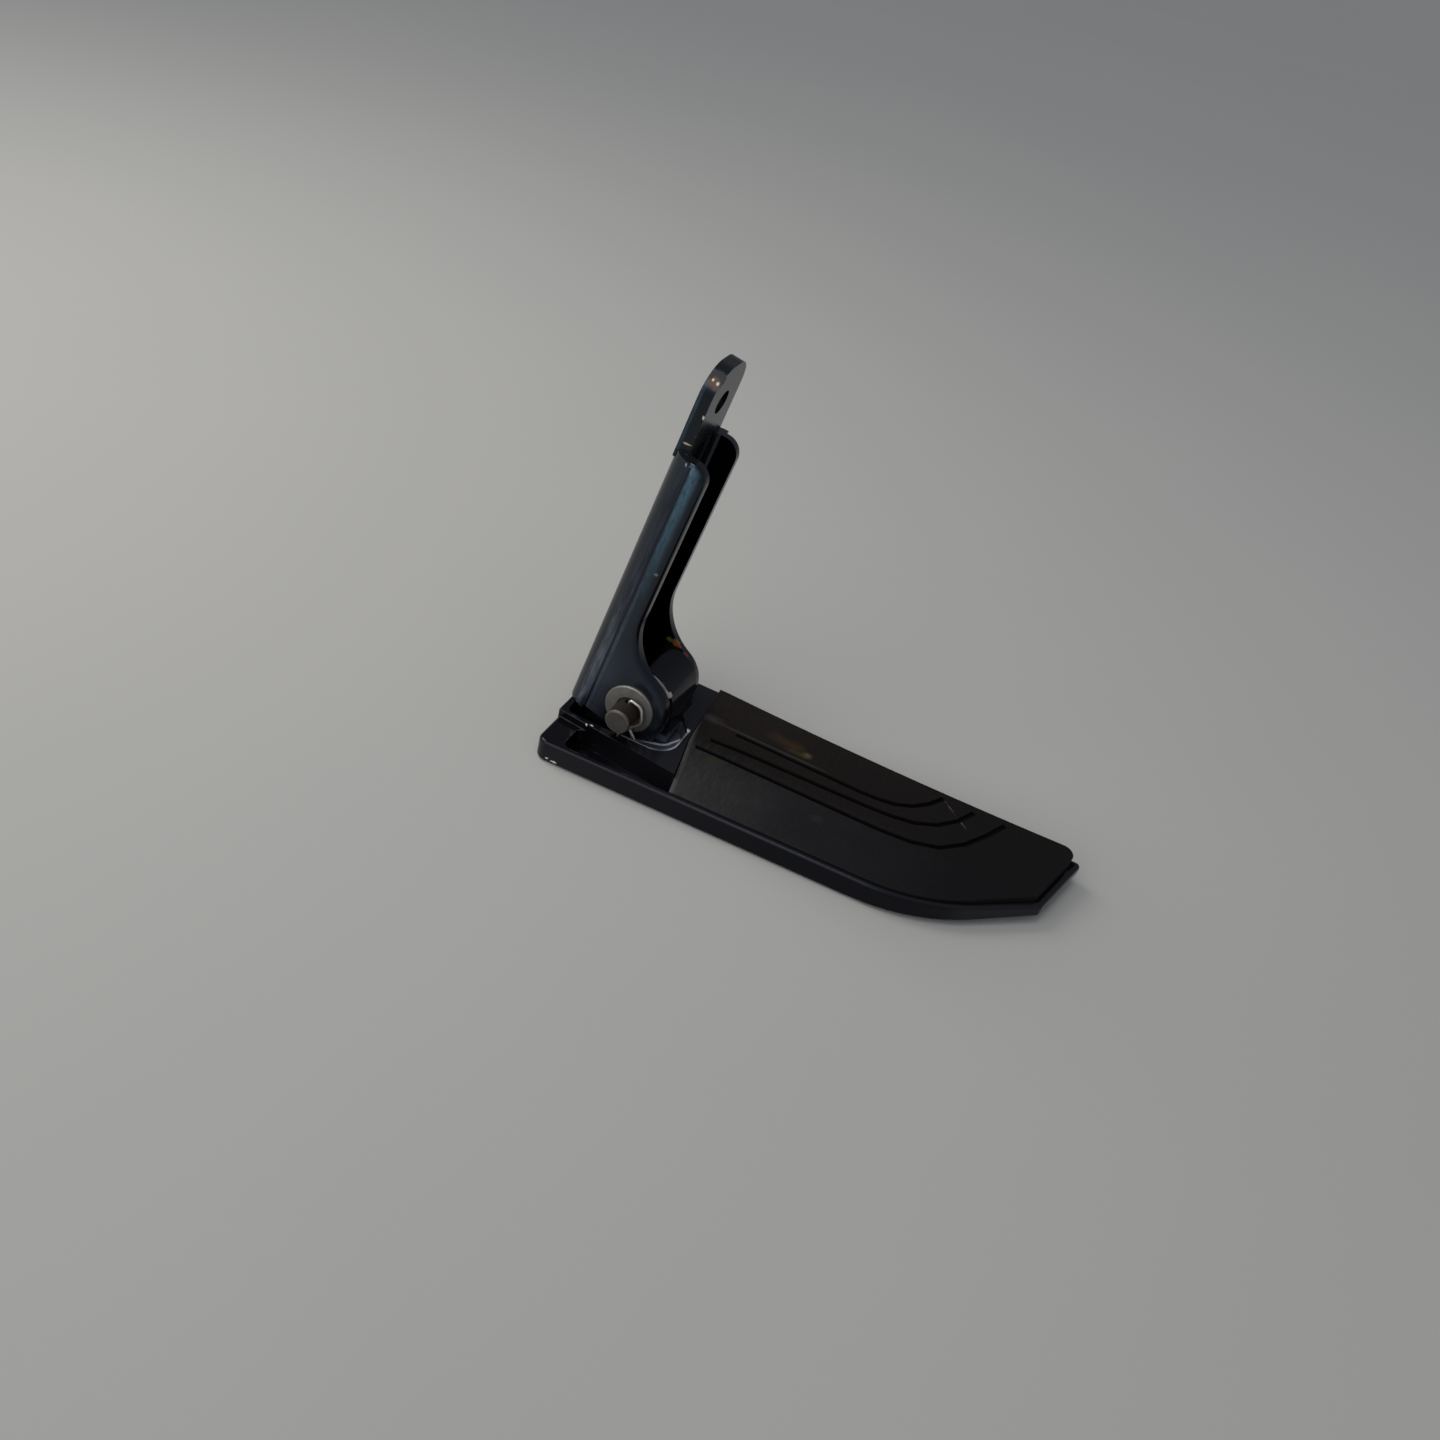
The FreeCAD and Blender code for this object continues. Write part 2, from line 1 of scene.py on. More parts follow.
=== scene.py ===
import json
import math

import bmesh
import bpy
from mathutils import Matrix, Vector

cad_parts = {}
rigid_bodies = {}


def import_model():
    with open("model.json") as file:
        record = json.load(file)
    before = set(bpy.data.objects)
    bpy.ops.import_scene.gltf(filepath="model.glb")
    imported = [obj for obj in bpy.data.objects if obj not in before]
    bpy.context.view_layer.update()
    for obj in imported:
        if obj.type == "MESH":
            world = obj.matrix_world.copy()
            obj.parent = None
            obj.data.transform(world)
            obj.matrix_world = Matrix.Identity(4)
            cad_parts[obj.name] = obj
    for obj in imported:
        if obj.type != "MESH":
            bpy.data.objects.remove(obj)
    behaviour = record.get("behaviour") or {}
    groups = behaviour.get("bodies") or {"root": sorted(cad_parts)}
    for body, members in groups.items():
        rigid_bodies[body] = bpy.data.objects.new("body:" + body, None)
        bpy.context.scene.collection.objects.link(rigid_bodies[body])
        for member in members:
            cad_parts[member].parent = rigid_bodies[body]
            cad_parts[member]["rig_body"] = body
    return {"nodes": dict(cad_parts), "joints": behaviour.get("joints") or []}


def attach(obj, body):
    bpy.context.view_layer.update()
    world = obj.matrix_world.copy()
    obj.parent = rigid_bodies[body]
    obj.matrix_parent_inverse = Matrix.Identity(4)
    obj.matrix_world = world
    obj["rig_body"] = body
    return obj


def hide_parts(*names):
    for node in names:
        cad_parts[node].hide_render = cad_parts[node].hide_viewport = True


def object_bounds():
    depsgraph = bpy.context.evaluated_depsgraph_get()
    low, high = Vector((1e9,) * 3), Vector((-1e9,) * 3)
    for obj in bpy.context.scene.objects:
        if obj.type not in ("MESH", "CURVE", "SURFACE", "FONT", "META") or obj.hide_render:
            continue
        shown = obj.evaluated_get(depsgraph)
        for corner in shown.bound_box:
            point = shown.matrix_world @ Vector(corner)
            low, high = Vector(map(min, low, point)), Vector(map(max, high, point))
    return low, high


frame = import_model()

# Places on the part are in millimetres from the hinge pin's middle: out along the tread, across and up.
# On the bracket they follow the leaning arm.
MM = 0.001
CAD_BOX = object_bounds()
PIN = Vector(frame["joints"][0]["pos_m"])
ARM_LEAN = math.radians(10)

# Camera: place in metres, right and up directions, and lens on a square sensor
CAMERA_PLACE = (0.10255, -0.3052, 0.13586)
CAMERA_RIGHT = (0.8930, 0.3903, 0.2238)
CAMERA_UP = (-0.4073, 0.4900, 0.7707)
CAMERA_LENS, CAMERA_SENSOR = 31.82, 36

# Studio, in metres: a room brighter on the camera's side, a pale floor and soft daylight from the front left
ROOM_FRONT, ROOM_BACK = (0.32, 0.35, 0.40, 1), (0.17, 0.175, 0.20, 1)
ROOM_BLEND = 0.6
FLOOR_SIZE, FLOOR_GAP = 40, 0.0001
FLOOR_PALE, FLOOR_SHADE = (0.44, 0.43, 0.40, 1), (0.39, 0.39, 0.38, 1)
DAYLIGHT_WAY = (0.35, 0.75, -0.72)
DAYLIGHT_POWER, DAYLIGHT_ANGLE = 0.9, math.radians(50)
DAYLIGHT_COLOUR = (0.97, 0.98, 1.0)

# Lamps: name, place, target, size, power in watts and colour
LAMPS = [
    ("side", (-0.5, 0.0, 0.45), (0.0, 0.0, -0.1), 0.45, 2.4, (1.0, 0.98, 0.95)),
    ("ceiling", (-0.1, -0.35, 1.6), (0.03, 0.0, -0.1), 0.5, 3.0, (1.0, 0.99, 0.97)),
]

# Rounded edges: the angles that count as flat, sharp and smooth, and the wider rolls
MERGE_GAP = 0.002
FLAT_ANGLE, SHARP_ANGLE, SMOOTH_ANGLE = math.radians(0.5), math.radians(35), math.radians(40)
EDGE_STEPS, ROLL_STEPS = 2, 3
TONGUE_ROLL, PAD_ROLL = 1.2, 0.8
TONGUE_BACK, TONGUE_ROOT = -19.8, 82.6
BACK_SLACK, BOLT_HOLE_CLEAR = 0.05, 3.7
PAD_TOP, PAD_SLOPE = -6.93, 0.069
PAD_RIM_OUT, PAD_RIM_ACROSS, PAD_RIM_DROP = (20.4, 125), (-12, 19.6), 0.1

# Wires, by the corners of their middle line and the radius of each bend
WIRE_SIDES, BEND_STEPS = 14, 10
WIRE_SMOOTH_ANGLE = math.radians(50)
SPLIT_PIN_R = 0.5
SPLIT_PIN_LEG = [(0.4, -15.9, -5.0), (0.4, -15.9, 4.85), (4.5, -15.9, 3.75), (5.75, -15.9, -1.7),
                 (2.0, -15.9, -5.1), (4.7, -15.9, -8.9)]
SPLIT_PIN_BENDS = [0.8, 2.6, 2.8, 1.0]
SPLIT_PIN_EYE, SPLIT_PIN_EYE_R = (0.0, -16.6, -6.6), 1.6
BEAD_R = 0.4
LIP_BEAD, LIP_BEAD_BENDS = [(1.0, -17.9, -7.4), (16.9, -17.9, -7.4), (16.9, -4.0, -7.4)], [7.0]
POCKET_BEAD, POCKET_BEAD_BENDS = [(3.0, -10.1, -13.25), (11.6, -6.8, -13.25), (14.4, -1.0, -13.25)], [5.0]

# Finish nodes: first input and output of each kind of mix, and how far an edge turns the surface
MIX_SOCKETS = {"RGBA": (6, 2), "FLOAT": (2, 0)}
EDGE_TURN = (0.985, 0.9)


def from_pin(x, y, z):
    """Row-frame point from millimetres measured from the hinge pin's middle."""
    return PIN + Vector((x, y, z)) * MM


def on_arm(x, y, z):
    """Row-frame point from millimetres in the leaning bracket's own directions."""
    return PIN + Matrix.Rotation(ARM_LEAN, 3, "Y") @ Vector((x, y, z)) * MM


class Finish:
    """A procedural material built up in layers on the object's own coordinates."""

    def __init__(self, name, colour, roughness, metallic=0.0, specular=0.5, gloss=(1, 1, 1, 1)):
        self.material = bpy.data.materials.new(name)
        self.material.use_nodes = True
        self.tree = self.material.node_tree
        self.shader = self.tree.nodes["Principled BSDF"]
        self.shader.inputs["Metallic"].default_value = metallic
        self.shader.inputs["Specular IOR Level"].default_value = specular
        self.shader.inputs["Specular Tint"].default_value = gloss
        self.place = self.add("ShaderNodeTexCoord").outputs["Object"]
        self.colour = colour
        self.roughness = roughness
        self.normal = None

    def add(self, kind, inputs=None, **settings):
        """A new node with its settings, and its inputs, each a value or another node's output."""
        node = self.tree.nodes.new(kind)
        for key, value in settings.items():
            setattr(node, key, value)
        for key, value in (inputs or {}).items():
            if isinstance(value, bpy.types.NodeSocket):
                self.tree.links.new(value, node.inputs[key])
            else:
                node.inputs[key].default_value = value
        return node

    def math(self, operation, a, b=0.0):
        return self.add("ShaderNodeMath", {0: a, 1: b}, operation=operation).outputs[0]

    def dot(self, a, b):
        return self.add("ShaderNodeVectorMath", {0: a, 1: b}, operation="DOT_PRODUCT").outputs["Value"]

    def spread(self, value, low, high, start=0.0, end=1.0):
        """Value from low to high stretched to start to end, and held beyond."""
        node = self.add("ShaderNodeMapRange", {0: value, 1: low, 2: high, 3: start, 4: end})
        return node.outputs[0]

    def ramp(self, length, low, high, start=0.0, end=1.0):
        """The same for a length in metres between two limits in millimetres."""
        return self.spread(length, low * MM, high * MM, start, end)

    def band(self, length, low, high, soft):
        """1 where a length in metres lies between two limits in millimetres, with soft sides."""
        rise = self.ramp(length, low - soft, low + soft)
        fall = self.ramp(length, high - soft, high + soft, 1, 0)
        return self.math("MULTIPLY", rise, fall)

    def along(self, direction, start=0.0):
        """Metres along a direction from the hinge pin, less a start in millimetres."""
        direction = Vector(direction)
        return self.math("SUBTRACT", self.dot(self.place, direction), PIN.dot(direction) + start * MM)

    def noise(self, scale, detail=3.0, rough=0.55, grain=None, lean=0.0):
        """Noise, drawn out by the three lengths of grain along axes that lean about Y."""
        place = self.place
        if grain:
            inputs = {"Vector": place, "Rotation": (0, lean, 0), "Scale": grain}
            place = self.add("ShaderNodeMapping", inputs, vector_type="TEXTURE").outputs[0]
        inputs = {"Vector": place, "Scale": scale, "Detail": detail, "Roughness": rough}
        return self.add("ShaderNodeTexNoise", inputs).outputs[0]

    def patches(self, scale, low, high, start=0.0, end=1.0, **settings):
        """Noise from low to high stretched to start to end."""
        return self.spread(self.noise(scale, **settings), low, high, start, end)

    def spot(self, centre, radii, ragged=0.5, scale=900.0, full=0.55):
        """1 inside a ragged ellipsoid about a row-frame point, 0 outside."""
        away = self.add("ShaderNodeVectorMath", {0: self.place, 1: centre}, operation="SUBTRACT").outputs[0]
        shrink = Vector([1 / (r * MM) for r in radii])
        away = self.add("ShaderNodeVectorMath", {0: away, 1: shrink}, operation="MULTIPLY").outputs[0]
        reach = self.add("ShaderNodeVectorMath", {0: away}, operation="LENGTH").outputs["Value"]
        broken = self.math("MULTIPLY", self.math("SUBTRACT", self.noise(scale), 0.5), ragged * 2)
        return self.spread(self.math("ADD", reach, broken), 1.0, full)

    def edges(self, radius):
        """1 on the outer edges, worked out from how fast the surface turns."""
        soft = self.add("ShaderNodeBevel", {"Radius": radius * MM}, samples=6).outputs[0]
        hard = self.add("ShaderNodeNewGeometry").outputs["Normal"]
        return self.spread(self.dot(soft, hard), *EDGE_TURN)

    def facing(self, direction):
        """How far the surface faces a direction, from -1 to 1."""
        return self.dot(self.add("ShaderNodeNewGeometry").outputs["Normal"], direction)

    def both(self, *masks):
        """1 where every mask is 1."""
        result = masks[0]
        for mask in masks[1:]:
            result = self.math("MULTIPLY", result, mask)
        return result

    def blend(self, kind, mask, a, b):
        first, result = MIX_SOCKETS[kind]
        return self.add("ShaderNodeMix", {0: mask, first: a, first + 1: b}, data_type=kind).outputs[result]

    def tint(self, mask, colour, strength=1.0):
        """A layer of colour where the mask is 1."""
        self.colour = self.blend("RGBA", self.both(mask, strength), self.colour, colour)

    def dull(self, mask, roughness):
        """Another roughness where the mask is 1."""
        self.roughness = self.blend("FLOAT", mask, self.roughness, roughness)

    def relief(self, height, depth, strength):
        """Bump of a height from 0 to 1 over a depth in millimetres."""
        inputs = {"Strength": strength, "Distance": depth * MM, "Height": height}
        if self.normal:
            inputs["Normal"] = self.normal
        self.normal = self.add("ShaderNodeBump", inputs).outputs[0]

    def done(self):
        """The material, with its layers joined to the shader."""
        layers = {"Base Color": self.colour, "Roughness": self.roughness, "Normal": self.normal}
        for key, value in layers.items():
            if isinstance(value, bpy.types.NodeSocket):
                self.tree.links.new(value, self.shader.inputs[key])
            elif value is not None:
                self.shader.inputs[key].default_value = value
        return self.material


# Bracket paint: black, with painted shade in the channel, down the die line and over the bend, and painted
# reflections and highlights in the slate, teal, grey and blue bands of its flanges and tongue, and where each
# lies.
# Bands are measured forwards from the line that the die left down the flange, and fades up the arm.
BRACKET_BLACK, BRACKET_GLOSS = (0.0032, 0.0033, 0.0038, 1), (0.68, 0.84, 1.0, 1)
INSIDE_SHADE_BLACK, INSIDE_REACH, INSIDE_TOP = (0.0012, 0.0011, 0.0012, 1), (9.75, 9.55), (84, 82)
OUTSIDE_SHEEN_BLUE, OUTSIDE_REACH, OUTSIDE_FACING = (0.0088, 0.0102, 0.0140, 1), (9.6, 11), (0.6, 0.95)
ROOT_FADE = 0.4
DIE_LINE_X = -13.1
DIE_LINE_SHADE_BLACK, DIE_LINE_SHADE_BAND = (0.002, 0.003, 0.005, 1), (-0.35, 0.3)
STREAK_HIGHLIGHT_GREY, STREAK_HIGHLIGHT_BAND = (0.115, 0.120, 0.150, 1), (-3.4, -0.3)
RIDGE_HIGHLIGHT_GREY, RIDGE_HIGHLIGHT_BAND = (0.085, 0.100, 0.125, 1), (0.3, 1.4)
HIGHLIGHT_FADE = (50, 2)
SLATE_SHEEN, SLATE_SHEEN_BAND, SLATE_SHEEN_FADE = (0.034, 0.036, 0.047, 1), (0.3, 5.5), (20, 4)
TEAL_SHEEN, TEAL_SHEEN_BAND, TEAL_SHEEN_FADE = (0.090, 0.185, 0.250, 1), (0.2, 2.9), (34, 78)
STREAK_GRAIN, FINE_GRAIN = (0.12, 0.12, 1), (0.16, 0.16, 1)
TONGUE_SHEEN_BLUE, TONGUE_SHEEN_BAND, TONGUE_FACING = (0.045, 0.075, 0.100, 1), (-6.5, -5.7), (0.5, 0.8)
BEND_SHADE_BLACK, BEND_SHADE_DEPTH, BEND_SHADE_FADE = (0.0030, 0.0030, 0.0030, 1), (-3.8, -5.0), (92, 66)
BRACKET_DUST = (0.030, 0.034, 0.040, 1)
BARE_EDGE = (0.10, 0.095, 0.09, 1)

# Marks on the bracket: middle, radii and colour
RUST, OCHRE, PINK = (0.30, 0.10, 0.015, 1), (0.16, 0.11, 0.02, 1), (0.26, 0.045, 0.03, 1)
DARK_BROWN_HALO, COPPER_HIGHLIGHT, COPPER_GLINT = (0.026, 0.016, 0.010, 1), (0.120, 0.066, 0.032, 1), (0.75, 0.60, 0.46, 1)
BRASS, TONGUE_GLINT = (0.50, 0.42, 0.24, 1), (0.60, 0.60, 0.58, 1)
PALE_STEEL, BLUE_STEEL, DULL_STEEL = (0.30, 0.34, 0.38, 1), (0.13, 0.17, 0.21, 1), (0.12, 0.14, 0.17, 1)
BRACKET_MARKS = [
    ((0.6, 9.6, 13.2), (2.6, 1.2, 1.5), RUST),
    ((-2.4, 9.6, 13.0), (1.5, 1.2, 1.0), OCHRE),
    ((4.4, 9.6, 11.8), (1.3, 1.2, 2.2), PINK),
    # Painted highlight at the tongue's top corner: a copper patch with two glints, in a dark brown halo
    ((-17.4, -8.0, 104.6), (4.5, 2.6, 2.2), DARK_BROWN_HALO),
    ((-17.6, -9.0, 103.4), (2.3, 1.8, 2.0), COPPER_HIGHLIGHT),
    ((-18.2, -8.6, 103.9), (0.4, 0.7, 0.45), COPPER_GLINT),
    ((-16.6, -8.7, 103.7), (0.5, 0.7, 0.5), COPPER_GLINT),
    ((-17.2, -10.4, 85.2), (1.3, 0.8, 0.35), BRASS),
    # Painted glint on the tongue's near edge
    ((-16.1, -10.3, 94.2), (0.4, 0.8, 0.6), TONGUE_GLINT),
    ((-14.5, -13.2, 81.4), (0.4, 0.8, 0.9), PALE_STEEL),
    ((-12.4, -13.2, 80.2), (0.5, 0.8, 0.9), BLUE_STEEL),
    ((-9.6, -13.5, 46.5), (0.9, 0.4, 0.6), DULL_STEEL),
]


def bracket_paint():
    """Gloss black over pressed steel with chips and rust; its blue-grey outer sides, the streaks along the
    bend and the tongue's pale strip are painted reflections and highlights, and the channel, die line and
    bend are painted darker as shade.
    """
    paint = Finish("bracket_paint", BRACKET_BLACK, roughness=0.2, gloss=BRACKET_GLOSS)
    paint.relief(paint.noise(scale=300, detail=2), depth=0.06, strength=0.15)
    arm = Matrix.Rotation(ARM_LEAN, 3, "Y")
    depth = paint.along(arm @ Vector((1, 0, 0)), DIE_LINE_X)
    height = paint.along(arm @ Vector((0, 0, 1)))
    reach = paint.math("ABSOLUTE", paint.along((0, 1, 0)))
    sideways = paint.math("ABSOLUTE", paint.facing((0, 1, 0)))

    # Painted shade: the inside of the channel is painted blacker
    inside = paint.both(paint.ramp(reach, *INSIDE_REACH), paint.ramp(height, *INSIDE_TOP))
    paint.tint(inside, INSIDE_SHADE_BLACK)
    paint.dull(inside, roughness=0.12)
    channel = paint.ramp(height, TONGUE_ROOT, TONGUE_ROOT - ROOT_FADE)
    outside = paint.both(paint.ramp(reach, *OUTSIDE_REACH), paint.spread(sideways, *OUTSIDE_FACING), channel)
    # Painted reflection: the outer sides are painted blue-grey for their sheen
    paint.tint(outside, OUTSIDE_SHEEN_BLUE)

    streaks = paint.patches(scale=90, low=0.38, high=0.66, detail=4, rough=0.65,
                            grain=STREAK_GRAIN, lean=ARM_LEAN)
    fine = paint.patches(scale=260, low=0.22, high=0.66, detail=5, rough=0.75,
                         grain=FINE_GRAIN, lean=ARM_LEAN)
    low = paint.ramp(height, *HIGHLIGHT_FADE, start=0.15)
    high = paint.ramp(height, *TEAL_SHEEN_FADE, start=0.05)
    # Painted highlights: streaked grey bands on either side of the die line
    paint.tint(paint.both(outside, paint.band(depth, *STREAK_HIGHLIGHT_BAND, soft=0.5), streaks, low), STREAK_HIGHLIGHT_GREY)
    paint.tint(paint.both(outside, paint.band(depth, *RIDGE_HIGHLIGHT_BAND, soft=0.3), fine, low), RIDGE_HIGHLIGHT_GREY)
    # Painted reflection: a slate sheen low on the outer flange
    slate_sheen = paint.both(outside, paint.band(depth, *SLATE_SHEEN_BAND, soft=2.0), paint.ramp(height, *SLATE_SHEEN_FADE))
    paint.tint(slate_sheen, SLATE_SHEEN, strength=0.8)
    # Painted reflection: a teal band high up the outer flange
    paint.tint(paint.both(outside, paint.band(depth, *TEAL_SHEEN_BAND, soft=0.8), fine, high), TEAL_SHEEN)
    # Painted shade: a dark line down the die line
    paint.tint(paint.both(outside, paint.band(depth, *DIE_LINE_SHADE_BAND, soft=0.25)), DIE_LINE_SHADE_BLACK)

    # Painted reflection: a pale blue strip along the tongue's side
    above = paint.ramp(height, TONGUE_ROOT - ROOT_FADE, TONGUE_ROOT)
    tongue_side = paint.both(above, paint.spread(sideways, *TONGUE_FACING))
    paint.tint(paint.both(tongue_side, paint.band(depth, *TONGUE_SHEEN_BAND, soft=0.3), fine), TONGUE_SHEEN_BLUE)
    # Painted shade: the bend is painted blacker to darken its reflection
    bend = paint.both(paint.ramp(depth, *BEND_SHADE_DEPTH), paint.ramp(height, *BEND_SHADE_FADE))
    paint.tint(bend, BEND_SHADE_BLACK)
    paint.dull(bend, roughness=0.3)

    paint.tint(paint.patches(scale=900, low=0.62, high=0.8, end=0.2, detail=5, rough=0.75), BRACKET_DUST)
    chipped = paint.patches(scale=420, low=0.58, high=0.66, detail=4)
    paint.tint(paint.both(paint.edges(radius=0.5), chipped), BARE_EDGE)
    for place, radii, colour in BRACKET_MARKS:
        mark = paint.spot(on_arm(*place), radii, ragged=0.6)
        paint.tint(mark, colour)
        paint.dull(mark, roughness=0.6)
    return paint.done()


# Casting paint: black, the dull near wall, painted sheen on the lands and near wall, painted light in the
# hinge pocket, painted edge highlights and the wear towards the hinge
CASTING_BLACK, CASTING_GLOSS = (0.0018, 0.0018, 0.0022, 1), (0.82, 0.84, 1.0, 1)
CASTING_DUST = (0.020, 0.021, 0.025, 1)
LAND_SHEEN_BLACK, LAND_SHEEN_FADE = (0.0098, 0.0098, 0.0115, 1), (0, 9)
WALL_BLACK, WALL_ACROSS, WALL_FACING = (0.0016, 0.0015, 0.0022, 1), (-20, -24), (0.35, 0.8)
WALL_SHEEN_GREY, WALL_SHEEN_FADE = (0.0110, 0.0105, 0.0120, 1), (60, -15)
POCKET_LIGHT_GREY = (0.110, 0.113, 0.135, 1)
POCKET_OUT, POCKET_ACROSS, POCKET_HEIGHT = (3, 18), (-17.5, 3), (-14.5, -8.7)
EDGE_HIGHLIGHT_GREY, WORN_EDGE, EDGE_WEAR_AND_HIGHLIGHT_FADE = (0.014, 0.014, 0.015, 1), (0.050, 0.050, 0.050, 1), (40, 10)
STEP_HIGHLIGHT_GREY = (0.085, 0.085, 0.090, 1)
STEP_OUT, STEP_ACROSS, STEP_HEIGHT = (4, -6), (-21.5, -18.0), (-10.4, -9.8)

# Chips in the casting's paint, and one painted glint at the corner of the pocket's lip (the last): middle and
# radii
CHIP_AND_GLINT_WHITE = (0.70, 0.69, 0.67, 1)
CASTING_CHIPS_AND_GLINT = [
    ((-15.4, -33.0, -15.3), (0.6, 0.9, 0.4)),
    ((-13.0, -33.0, -15.6), (1.1, 0.9, 0.35)),
    ((-20.0, -30.5, -11.0), (0.5, 0.6, 0.4)),
    ((-9.9, -20.5, -7.3), (0.4, 0.5, 0.5)),
    ((-8.3, -20.0, -7.2), (0.8, 0.3, 0.4)),
    # Painted glint at the corner of the pocket's lip
    ((16.6, -2.8, -7.1), (0.8, 1.0, 0.5)),
]


def casting_paint():
    """Gloss black over cast aluminium, duller on the near wall, chipped bright at its corner, with painted
    sheen on the lands and near wall, painted edge highlights, a painted glint and painted light in the hinge
    pocket.
    """
    paint = Finish("casting_paint", CASTING_BLACK, roughness=0.14, specular=0.22, gloss=CASTING_GLOSS)
    paint.relief(paint.noise(scale=220, detail=2), depth=0.10, strength=0.18)
    out = paint.along((1, 0, 0))
    across = paint.along((0, 1, 0))
    height = paint.along((0, 0, 1))
    dust = paint.patches(scale=900, low=0.6, high=0.8, end=0.18, detail=5, rough=0.7)
    paint.tint(dust, CASTING_DUST)
    paint.dull(dust, roughness=0.4)
    # Painted sheen: paler black beyond the hinge, for the lands' reflection
    paint.tint(paint.ramp(out, *LAND_SHEEN_FADE), LAND_SHEEN_BLACK)

    nearwards = paint.facing((0, -1, 0))
    wall = paint.both(paint.ramp(across, *WALL_ACROSS), paint.spread(nearwards, *WALL_FACING))
    paint.tint(wall, WALL_BLACK)
    # Painted reflection: the near wall is greyer towards the hinge
    paint.tint(paint.both(wall, paint.ramp(out, *WALL_SHEEN_FADE)), WALL_SHEEN_GREY)
    paint.dull(wall, roughness=0.3)
    # Painted light: the hinge pocket is painted pale grey where it lies in shade
    sunk = paint.band(height, *POCKET_HEIGHT, soft=0.5)
    pocket = paint.both(sunk, paint.band(across, *POCKET_ACROSS, soft=0.5),
                        paint.band(out, *POCKET_OUT, soft=1.0))
    paint.tint(pocket, POCKET_LIGHT_GREY)
    paint.dull(pocket, roughness=0.3)

    # Edges towards the hinge: a painted highlight along all of them, and worn chips
    worn = paint.both(paint.edges(radius=0.6), paint.ramp(out, *EDGE_WEAR_AND_HIGHLIGHT_FADE, start=0.1))
    paint.tint(worn, EDGE_HIGHLIGHT_GREY, strength=0.5)
    paint.tint(paint.both(worn, paint.patches(scale=380, low=0.55, high=0.66, detail=4)), WORN_EDGE)
    # Painted highlight: a grey line along the step's upper edge
    step = paint.both(paint.band(across, *STEP_ACROSS, soft=0.4), paint.ramp(out, *STEP_OUT),
                      paint.ramp(height, *STEP_HEIGHT))
    paint.tint(paint.both(worn, step, paint.patches(scale=200, low=0.35, high=0.6)), STEP_HIGHLIGHT_GREY)
    for place, radii in CASTING_CHIPS_AND_GLINT:
        chip = paint.spot(from_pin(*place), radii, ragged=0.85, scale=1300)
        paint.tint(chip, CHIP_AND_GLINT_WHITE)
        paint.dull(chip, roughness=0.4)
    return paint.done()


# Bead paint: its black, and the painted gleams on the lip's crest and round the floor
BEAD_BLACK = (0.010, 0.011, 0.014, 1)
LIP_GLEAM, LIP_CREST, LIP_CORNER = (0.40, 0.44, 0.50, 1), (-7.25, -7.05), (11, 16)
POCKET_GLEAM, POCKET_FLOOR, POCKET_GLEAM_OUT = (0.80, 0.85, 0.92, 1), (-12, -12.5), (3, 11)


def bead_paint():
    """The casting's paint in gloss beads round the pocket's lip and floor, with pale painted gleams on them.
    """
    paint = Finish("bead_paint", BEAD_BLACK, roughness=0.08)
    out = paint.along((1, 0, 0))
    height = paint.along((0, 0, 1))
    bright = paint.patches(scale=160, low=0.40, high=0.60, start=0.15)
    crest = paint.ramp(height, *LIP_CREST)
    paint.tint(paint.both(bright, crest, paint.ramp(out, *LIP_CORNER, start=0.1)), LIP_GLEAM)
    sunk = paint.ramp(height, *POCKET_FLOOR)
    paint.tint(paint.both(sunk, paint.ramp(out, *POCKET_GLEAM_OUT, start=0.4)), POCKET_GLEAM)
    return paint.done()


# Pad rubber: black, the greys and browns worn into it, with painted light paling it towards the hinge,
# painted highlights on a groove's lip and its hinge end, painted shade in its grooves, and where each lies
RUBBER_BLACK = (0.0029, 0.0028, 0.0034, 1)
RUBBER_GREY_AND_LIGHT, GREY_AND_LIGHT_OUT = (0.0200, 0.0182, 0.0188, 1), (110, 24)
SCUFF_GREY, SCUFF_OUT, SCUFF_ACROSS = (0.030, 0.027, 0.0275, 1), (56, 20), (-5, -14)
FAR_BLACK, FAR_ACROSS = (0.0040, 0.0028, 0.0022, 1), (-8, -4)
FAR_BROWN, FAR_OUT = (0.0115, 0.0080, 0.0060, 1), (105, 24)
END_HIGHLIGHT_GREY, END_WAY, END_PLACE = (0.095, 0.090, 0.086, 1), (0.981, 0.193, 0), 16.9
END_BAND, END_OUT = (-1.5, 1.3), (27, 25)
PAD_DUST, DUST_AND_LIGHT_OUT = (0.045, 0.044, 0.043, 1), (120, 30)
STROKE_GREY, STROKE_GRAIN = (0.044, 0.041, 0.040, 1), (0.08, 0.5, 1)
STROKE_OUT, STROKE_ACROSS = (58, 22), (-2, -8)
GROOVE_LIP_LIT_BROWN, GROOVE_LIP_OUT, GROOVE_LIP_ACROSS = (0.042, 0.036, 0.032, 1), (23.0, 58.0), (6.1, 6.9)
SCRATCH_TAN, SCRATCH_BAND = (0.075, 0.065, 0.055, 1), (-0.25, 0.25)
SCRATCH_ENDS = ((96.7, 17.3), (105.6, 9.7))
GROOVE_SHADE_BLACK, GROOVE_SUNK = (0.0018, 0.0016, 0.0015, 1), (-0.35, -0.75)

